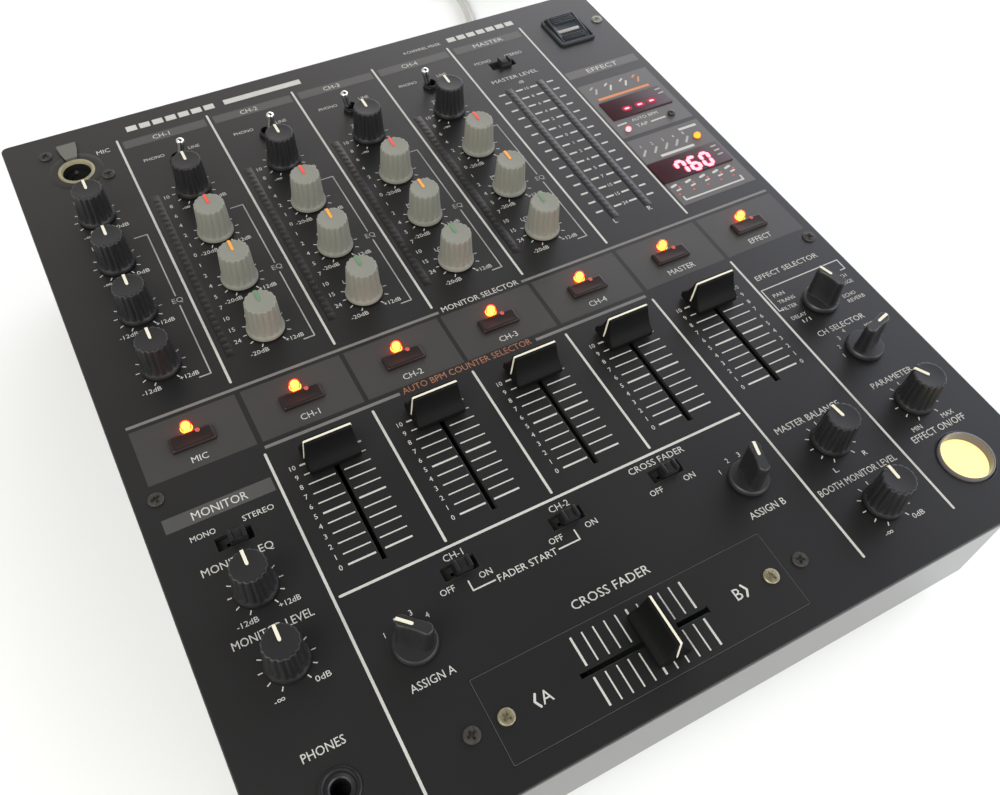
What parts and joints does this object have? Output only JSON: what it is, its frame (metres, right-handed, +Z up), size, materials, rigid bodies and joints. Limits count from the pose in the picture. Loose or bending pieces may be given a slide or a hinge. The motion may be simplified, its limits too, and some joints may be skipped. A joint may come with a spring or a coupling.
{
  "type": "dj mixer",
  "caption": "Tabletop mixer for two decks of music: a flat black panel of rotary knobs, upright faders, a cross fader, cue buttons and switches on a shallow metal case, with a mains lead.",
  "frame": {"origin": "on the floor under the middle of the mixer, measured without the mains lead", "axes": "+X to the right of the panel, +Y to the rear, +Z up"},
  "size_m": [0.398, 0.5834, 0.1063],
  "materials": {
    "panel_black": "fine satin black powder coat with printed white legends",
    "case_black": "satin black",
    "circuit_board": "green lacquered board with its pots, faders and switches",
    "black_plastic": "satin",
    "grey_plastic": "satin",
    "lit_yellow": "translucent, lit from behind",
    "nickel": "polished",
    "cord_grey": "glossy PVC jacket"
  },
  "bodies": {
    "mixer_body": {"chassis": "case_black", "top_panel": "panel_black", "cross_fader_plate": "panel_black", "control_board": "circuit_board", "mains_lead": "cord_grey", "mains_lead_coil": "cord_grey", "mains_plug": "cord_grey"},
    "mic_level_1_knob_body": {"mic_level_1_knob": "black_plastic"},
    "mic_level_2_knob_body": {"mic_level_2_knob": "black_plastic"},
    "mic_hi_knob_body": {"mic_hi_knob": "black_plastic"},
    "mic_low_knob_body": {"mic_low_knob": "black_plastic"},
    "ch_1_trim_knob_body": {"ch_1_trim_knob": "black_plastic"},
    "ch_1_hi_knob_body": {"ch_1_hi_knob": "grey_plastic"},
    "ch_1_mid_knob_body": {"ch_1_mid_knob": "grey_plastic"},
    "ch_1_low_knob_body": {"ch_1_low_knob": "grey_plastic"},
    "ch_2_trim_knob_body": {"ch_2_trim_knob": "black_plastic"},
    "ch_2_hi_knob_body": {"ch_2_hi_knob": "grey_plastic"},
    "ch_2_mid_knob_body": {"ch_2_mid_knob": "grey_plastic"},
    "ch_2_low_knob_body": {"ch_2_low_knob": "grey_plastic"},
    "ch_3_trim_knob_body": {"ch_3_trim_knob": "black_plastic"},
    "ch_3_hi_knob_body": {"ch_3_hi_knob": "grey_plastic"},
    "ch_3_mid_knob_body": {"ch_3_mid_knob": "grey_plastic"},
    "ch_3_low_knob_body": {"ch_3_low_knob": "grey_plastic"},
    "ch_4_trim_knob_body": {"ch_4_trim_knob": "black_plastic"},
    "ch_4_hi_knob_body": {"ch_4_hi_knob": "grey_plastic"},
    "ch_4_mid_knob_body": {"ch_4_mid_knob": "grey_plastic"},
    "ch_4_low_knob_body": {"ch_4_low_knob": "grey_plastic"},
    "monitor_eq_knob_body": {"monitor_eq_knob": "black_plastic"},
    "monitor_level_knob_body": {"monitor_level_knob": "black_plastic"},
    "master_balance_knob_body": {"master_balance_knob": "black_plastic"},
    "booth_level_knob_body": {"booth_level_knob": "black_plastic"},
    "effect_amount_knob_body": {"effect_amount_knob": "black_plastic"},
    "assign_a_selector_body": {"assign_a_selector": "black_plastic"},
    "assign_b_selector_body": {"assign_b_selector": "black_plastic"},
    "effect_selector_body": {"effect_selector": "black_plastic"},
    "effect_channel_selector_body": {"effect_channel_selector": "black_plastic"},
    "ch_1_fader_cap_body": {"ch_1_fader_cap": "black_plastic"},
    "ch_2_fader_cap_body": {"ch_2_fader_cap": "black_plastic"},
    "ch_3_fader_cap_body": {"ch_3_fader_cap": "black_plastic"},
    "ch_4_fader_cap_body": {"ch_4_fader_cap": "black_plastic"},
    "master_fader_cap_body": {"master_fader_cap": "black_plastic"},
    "cross_fader_cap_body": {"cross_fader_cap": "black_plastic"},
    "monitor_mode_switch_body": {"monitor_mode_switch": "black_plastic"},
    "fader_start_1_switch_body": {"fader_start_1_switch": "black_plastic"},
    "fader_start_2_switch_body": {"fader_start_2_switch": "black_plastic"},
    "cross_fader_switch_body": {"cross_fader_switch": "black_plastic"},
    "master_mode_switch_body": {"master_mode_switch": "black_plastic"},
    "mic_cue_button_body": {"mic_cue_button": "black_plastic"},
    "ch_1_cue_button_body": {"ch_1_cue_button": "black_plastic"},
    "ch_2_cue_button_body": {"ch_2_cue_button": "black_plastic"},
    "ch_3_cue_button_body": {"ch_3_cue_button": "black_plastic"},
    "ch_4_cue_button_body": {"ch_4_cue_button": "black_plastic"},
    "master_cue_button_body": {"master_cue_button": "black_plastic"},
    "effect_cue_button_body": {"effect_cue_button": "black_plastic"},
    "power_button_body": {"power_button": "black_plastic"},
    "effect_on_button_body": {"effect_on_button": "lit_yellow"},
    "ch_1_input_toggle_body": {"ch_1_input_toggle": "nickel"},
    "ch_2_input_toggle_body": {"ch_2_input_toggle": "nickel"},
    "ch_3_input_toggle_body": {"ch_3_input_toggle": "nickel"},
    "ch_4_input_toggle_body": {"ch_4_input_toggle": "nickel"}
  },
  "joints": [
    {"name": "ch_1_trim_turn", "type": "hinge", "parent": "mixer_body", "child": "ch_1_trim_knob_body", "pos_m": [-0.0842, 0.11175, 0.09], "axis": [0, 0, 1], "range_deg": [-150, 150]},
    {"name": "ch_1_low_turn", "type": "hinge", "parent": "mixer_body", "child": "ch_1_low_knob_body", "pos_m": [-0.0842, 0.02175, 0.09], "axis": [0, 0, 1], "range_deg": [-150, 150]},
    {"name": "mic_level_1_turn", "type": "hinge", "parent": "mixer_body", "child": "mic_level_1_knob_body", "pos_m": [-0.1266, 0.11175, 0.09], "axis": [0, 0, 1], "range_deg": [-150, 150]},
    {"name": "monitor_eq_turn", "type": "hinge", "parent": "mixer_body", "child": "monitor_eq_knob_body", "pos_m": [-0.1266, -0.08195, 0.09], "axis": [0, 0, 1], "range_deg": [-150, 150]},
    {"name": "effect_amount_turn", "type": "hinge", "parent": "mixer_body", "child": "effect_amount_knob_body", "pos_m": [0.1278, -0.12375, 0.09], "axis": [0, 0, 1], "range_deg": [-180, 120]},
    {"name": "master_balance_turn", "type": "hinge", "parent": "mixer_body", "child": "master_balance_knob_body", "pos_m": [0.0854, -0.12375, 0.09], "axis": [0, 0, 1], "range_deg": [-158, 142]},
    {"name": "assign_a_select_turn", "type": "hinge", "parent": "mixer_body", "child": "assign_a_selector_body", "pos_m": [-0.0882, -0.12395, 0.09], "axis": [0, 0, 1], "range_deg": [-90, 0]},
    {"name": "assign_b_select_turn", "type": "hinge", "parent": "mixer_body", "child": "assign_b_selector_body", "pos_m": [0.0469, -0.12325, 0.09], "axis": [0, 0, 1], "range_deg": [-30, 60]},
    {"name": "effect_select_turn", "type": "hinge", "parent": "mixer_body", "child": "effect_selector_body", "pos_m": [0.1278, -0.06625, 0.09], "axis": [0, 0, 1], "range_deg": [-137, 103]},
    {"name": "effect_channel_select_turn", "type": "hinge", "parent": "mixer_body", "child": "effect_channel_selector_body", "pos_m": [0.1278, -0.09425, 0.09], "axis": [0, 0, 1], "range_deg": [0, 150]},
    {"name": "ch_1_fader_slide", "type": "slide", "parent": "mixer_body", "child": "ch_1_fader_cap_body", "axis": [0, 1, 0], "range_m": [-0.044, 0]},
    {"name": "ch_2_fader_slide", "type": "slide", "parent": "mixer_body", "child": "ch_2_fader_cap_body", "axis": [0, 1, 0], "range_m": [-0.044, 0]},
    {"name": "master_fader_slide", "type": "slide", "parent": "mixer_body", "child": "master_fader_cap_body", "axis": [0, 1, 0], "range_m": [-0.044, 0]},
    {"name": "cross_fader_slide", "type": "slide", "parent": "mixer_body", "child": "cross_fader_cap_body", "axis": [1, 0, 0], "range_m": [-0.0261, 0.0169]},
    {"name": "ch_2_input_flip", "type": "hinge", "parent": "mixer_body", "child": "ch_2_input_toggle_body", "pos_m": [-0.0418, 0.13275, 0.0865], "axis": [0, 1, 0], "range_deg": [-24, 0]},
    {"name": "ch_3_input_flip", "type": "hinge", "parent": "mixer_body", "child": "ch_3_input_toggle_body", "pos_m": [0.0006, 0.13275, 0.0865], "axis": [0, 1, 0], "range_deg": [0, 24]},
    {"name": "mic_cue_push", "type": "slide", "parent": "mixer_body", "child": "mic_cue_button_body", "axis": [0, 0, -1], "range_m": [0, 0.0012], "stiffness_N_per_m": 220, "springref_m": -0.0015},
    {"name": "ch_3_cue_push", "type": "slide", "parent": "mixer_body", "child": "ch_3_cue_button_body", "axis": [0, 0, -1], "range_m": [0, 0.0012], "stiffness_N_per_m": 220, "springref_m": -0.0015},
    {"name": "effect_cue_push", "type": "slide", "parent": "mixer_body", "child": "effect_cue_button_body", "axis": [0, 0, -1], "range_m": [0, 0.0012], "stiffness_N_per_m": 220, "springref_m": -0.0015},
    {"name": "power_push", "type": "slide", "parent": "mixer_body", "child": "power_button_body", "axis": [0, 0, -1], "range_m": [0, 0.003], "stiffness_N_per_m": 300, "springref_m": -0.0015},
    {"name": "effect_on_push", "type": "slide", "parent": "mixer_body", "child": "effect_on_button_body", "axis": [0, 0, -1], "range_m": [0, 0.002], "stiffness_N_per_m": 260, "springref_m": -0.0015},
    {"name": "monitor_mode_switch_slide", "type": "slide", "parent": "mixer_body", "child": "monitor_mode_switch_body", "axis": [1, 0, 0], "range_m": [-0.0024, 0]},
    {"name": "fader_start_1_switch_slide", "type": "slide", "parent": "mixer_body", "child": "fader_start_1_switch_body", "axis": [1, 0, 0], "range_m": [-0.0024, 0]},
    {"name": "cross_fader_switch_slide", "type": "slide", "parent": "mixer_body", "child": "cross_fader_switch_body", "axis": [1, 0, 0], "range_m": [-0.0024, 0]},
    {"name": "master_mode_switch_slide", "type": "slide", "parent": "mixer_body", "child": "master_mode_switch_body", "axis": [1, 0, 0], "range_m": [-0.0024, 0]},
    {"name": "booth_level_turn", "type": "hinge", "parent": "mixer_body", "child": "booth_level_knob_body", "pos_m": [0.0854, -0.15355, 0.09], "axis": [0, 0, 1], "range_deg": [-150, 150]},
    {"name": "ch_4_hi_turn", "type": "hinge", "parent": "mixer_body", "child": "ch_4_hi_knob_body", "pos_m": [0.043, 0.08175, 0.09], "axis": [0, 0, 1], "range_deg": [-150, 150]},
    {"name": "ch_3_mid_turn", "type": "hinge", "parent": "mixer_body", "child": "ch_3_mid_knob_body", "pos_m": [0.0006, 0.05175, 0.09], "axis": [0, 0, 1], "range_deg": [-150, 150]},
    {"name": "monitor_level_turn", "type": "hinge", "parent": "mixer_body", "child": "monitor_level_knob_body", "pos_m": [-0.1266, -0.11045, 0.09], "axis": [0, 0, 1], "range_deg": [-150, 150]},
    {"name": "mic_level_2_turn", "type": "hinge", "parent": "mixer_body", "child": "mic_level_2_knob_body", "pos_m": [-0.1266, 0.08175, 0.09], "axis": [0, 0, 1], "range_deg": [-150, 150]},
    {"name": "mic_hi_turn", "type": "hinge", "parent": "mixer_body", "child": "mic_hi_knob_body", "pos_m": [-0.1266, 0.05175, 0.09], "axis": [0, 0, 1], "range_deg": [-150, 150]},
    {"name": "mic_low_turn", "type": "hinge", "parent": "mixer_body", "child": "mic_low_knob_body", "pos_m": [-0.1266, 0.02175, 0.09], "axis": [0, 0, 1], "range_deg": [-150, 150]},
    {"name": "ch_1_hi_turn", "type": "hinge", "parent": "mixer_body", "child": "ch_1_hi_knob_body", "pos_m": [-0.0842, 0.08175, 0.09], "axis": [0, 0, 1], "range_deg": [-150, 150]},
    {"name": "ch_1_mid_turn", "type": "hinge", "parent": "mixer_body", "child": "ch_1_mid_knob_body", "pos_m": [-0.0842, 0.05175, 0.09], "axis": [0, 0, 1], "range_deg": [-150, 150]},
    {"name": "ch_2_trim_turn", "type": "hinge", "parent": "mixer_body", "child": "ch_2_trim_knob_body", "pos_m": [-0.0418, 0.11175, 0.09], "axis": [0, 0, 1], "range_deg": [-150, 150]},
    {"name": "ch_2_hi_turn", "type": "hinge", "parent": "mixer_body", "child": "ch_2_hi_knob_body", "pos_m": [-0.0418, 0.08175, 0.09], "axis": [0, 0, 1], "range_deg": [-150, 150]},
    {"name": "ch_2_mid_turn", "type": "hinge", "parent": "mixer_body", "child": "ch_2_mid_knob_body", "pos_m": [-0.0418, 0.05175, 0.09], "axis": [0, 0, 1], "range_deg": [-150, 150]},
    {"name": "ch_2_low_turn", "type": "hinge", "parent": "mixer_body", "child": "ch_2_low_knob_body", "pos_m": [-0.0418, 0.02175, 0.09], "axis": [0, 0, 1], "range_deg": [-150, 150]},
    {"name": "ch_3_trim_turn", "type": "hinge", "parent": "mixer_body", "child": "ch_3_trim_knob_body", "pos_m": [0.0006, 0.11175, 0.09], "axis": [0, 0, 1], "range_deg": [-150, 150]},
    {"name": "ch_3_hi_turn", "type": "hinge", "parent": "mixer_body", "child": "ch_3_hi_knob_body", "pos_m": [0.0006, 0.08175, 0.09], "axis": [0, 0, 1], "range_deg": [-150, 150]},
    {"name": "ch_3_low_turn", "type": "hinge", "parent": "mixer_body", "child": "ch_3_low_knob_body", "pos_m": [0.0006, 0.02175, 0.09], "axis": [0, 0, 1], "range_deg": [-150, 150]},
    {"name": "ch_4_trim_turn", "type": "hinge", "parent": "mixer_body", "child": "ch_4_trim_knob_body", "pos_m": [0.043, 0.11175, 0.09], "axis": [0, 0, 1], "range_deg": [-150, 150]},
    {"name": "ch_4_mid_turn", "type": "hinge", "parent": "mixer_body", "child": "ch_4_mid_knob_body", "pos_m": [0.043, 0.05175, 0.09], "axis": [0, 0, 1], "range_deg": [-150, 150]},
    {"name": "ch_4_low_turn", "type": "hinge", "parent": "mixer_body", "child": "ch_4_low_knob_body", "pos_m": [0.043, 0.02175, 0.09], "axis": [0, 0, 1], "range_deg": [-150, 150]},
    {"name": "ch_3_fader_slide", "type": "slide", "parent": "mixer_body", "child": "ch_3_fader_cap_body", "axis": [0, 1, 0], "range_m": [-0.044, 0]},
    {"name": "ch_4_fader_slide", "type": "slide", "parent": "mixer_body", "child": "ch_4_fader_cap_body", "axis": [0, 1, 0], "range_m": [-0.044, 0]},
    {"name": "fader_start_2_switch_slide", "type": "slide", "parent": "mixer_body", "child": "fader_start_2_switch_body", "axis": [1, 0, 0], "range_m": [-0.0024, 0]},
    {"name": "ch_1_cue_push", "type": "slide", "parent": "mixer_body", "child": "ch_1_cue_button_body", "axis": [0, 0, -1], "range_m": [0, 0.0012], "stiffness_N_per_m": 220, "springref_m": -0.0015},
    {"name": "ch_2_cue_push", "type": "slide", "parent": "mixer_body", "child": "ch_2_cue_button_body", "axis": [0, 0, -1], "range_m": [0, 0.0012], "stiffness_N_per_m": 220, "springref_m": -0.0015},
    {"name": "ch_4_cue_push", "type": "slide", "parent": "mixer_body", "child": "ch_4_cue_button_body", "axis": [0, 0, -1], "range_m": [0, 0.0012], "stiffness_N_per_m": 220, "springref_m": -0.0015},
    {"name": "master_cue_push", "type": "slide", "parent": "mixer_body", "child": "master_cue_button_body", "axis": [0, 0, -1], "range_m": [0, 0.0012], "stiffness_N_per_m": 220, "springref_m": -0.0015},
    {"name": "ch_1_input_flip", "type": "hinge", "parent": "mixer_body", "child": "ch_1_input_toggle_body", "pos_m": [-0.0842, 0.13275, 0.0865], "axis": [0, 1, 0], "range_deg": [-24, 0]},
    {"name": "ch_4_input_flip", "type": "hinge", "parent": "mixer_body", "child": "ch_4_input_toggle_body", "pos_m": [0.043, 0.13275, 0.0865], "axis": [0, 1, 0], "range_deg": [0, 24]}
  ]
}
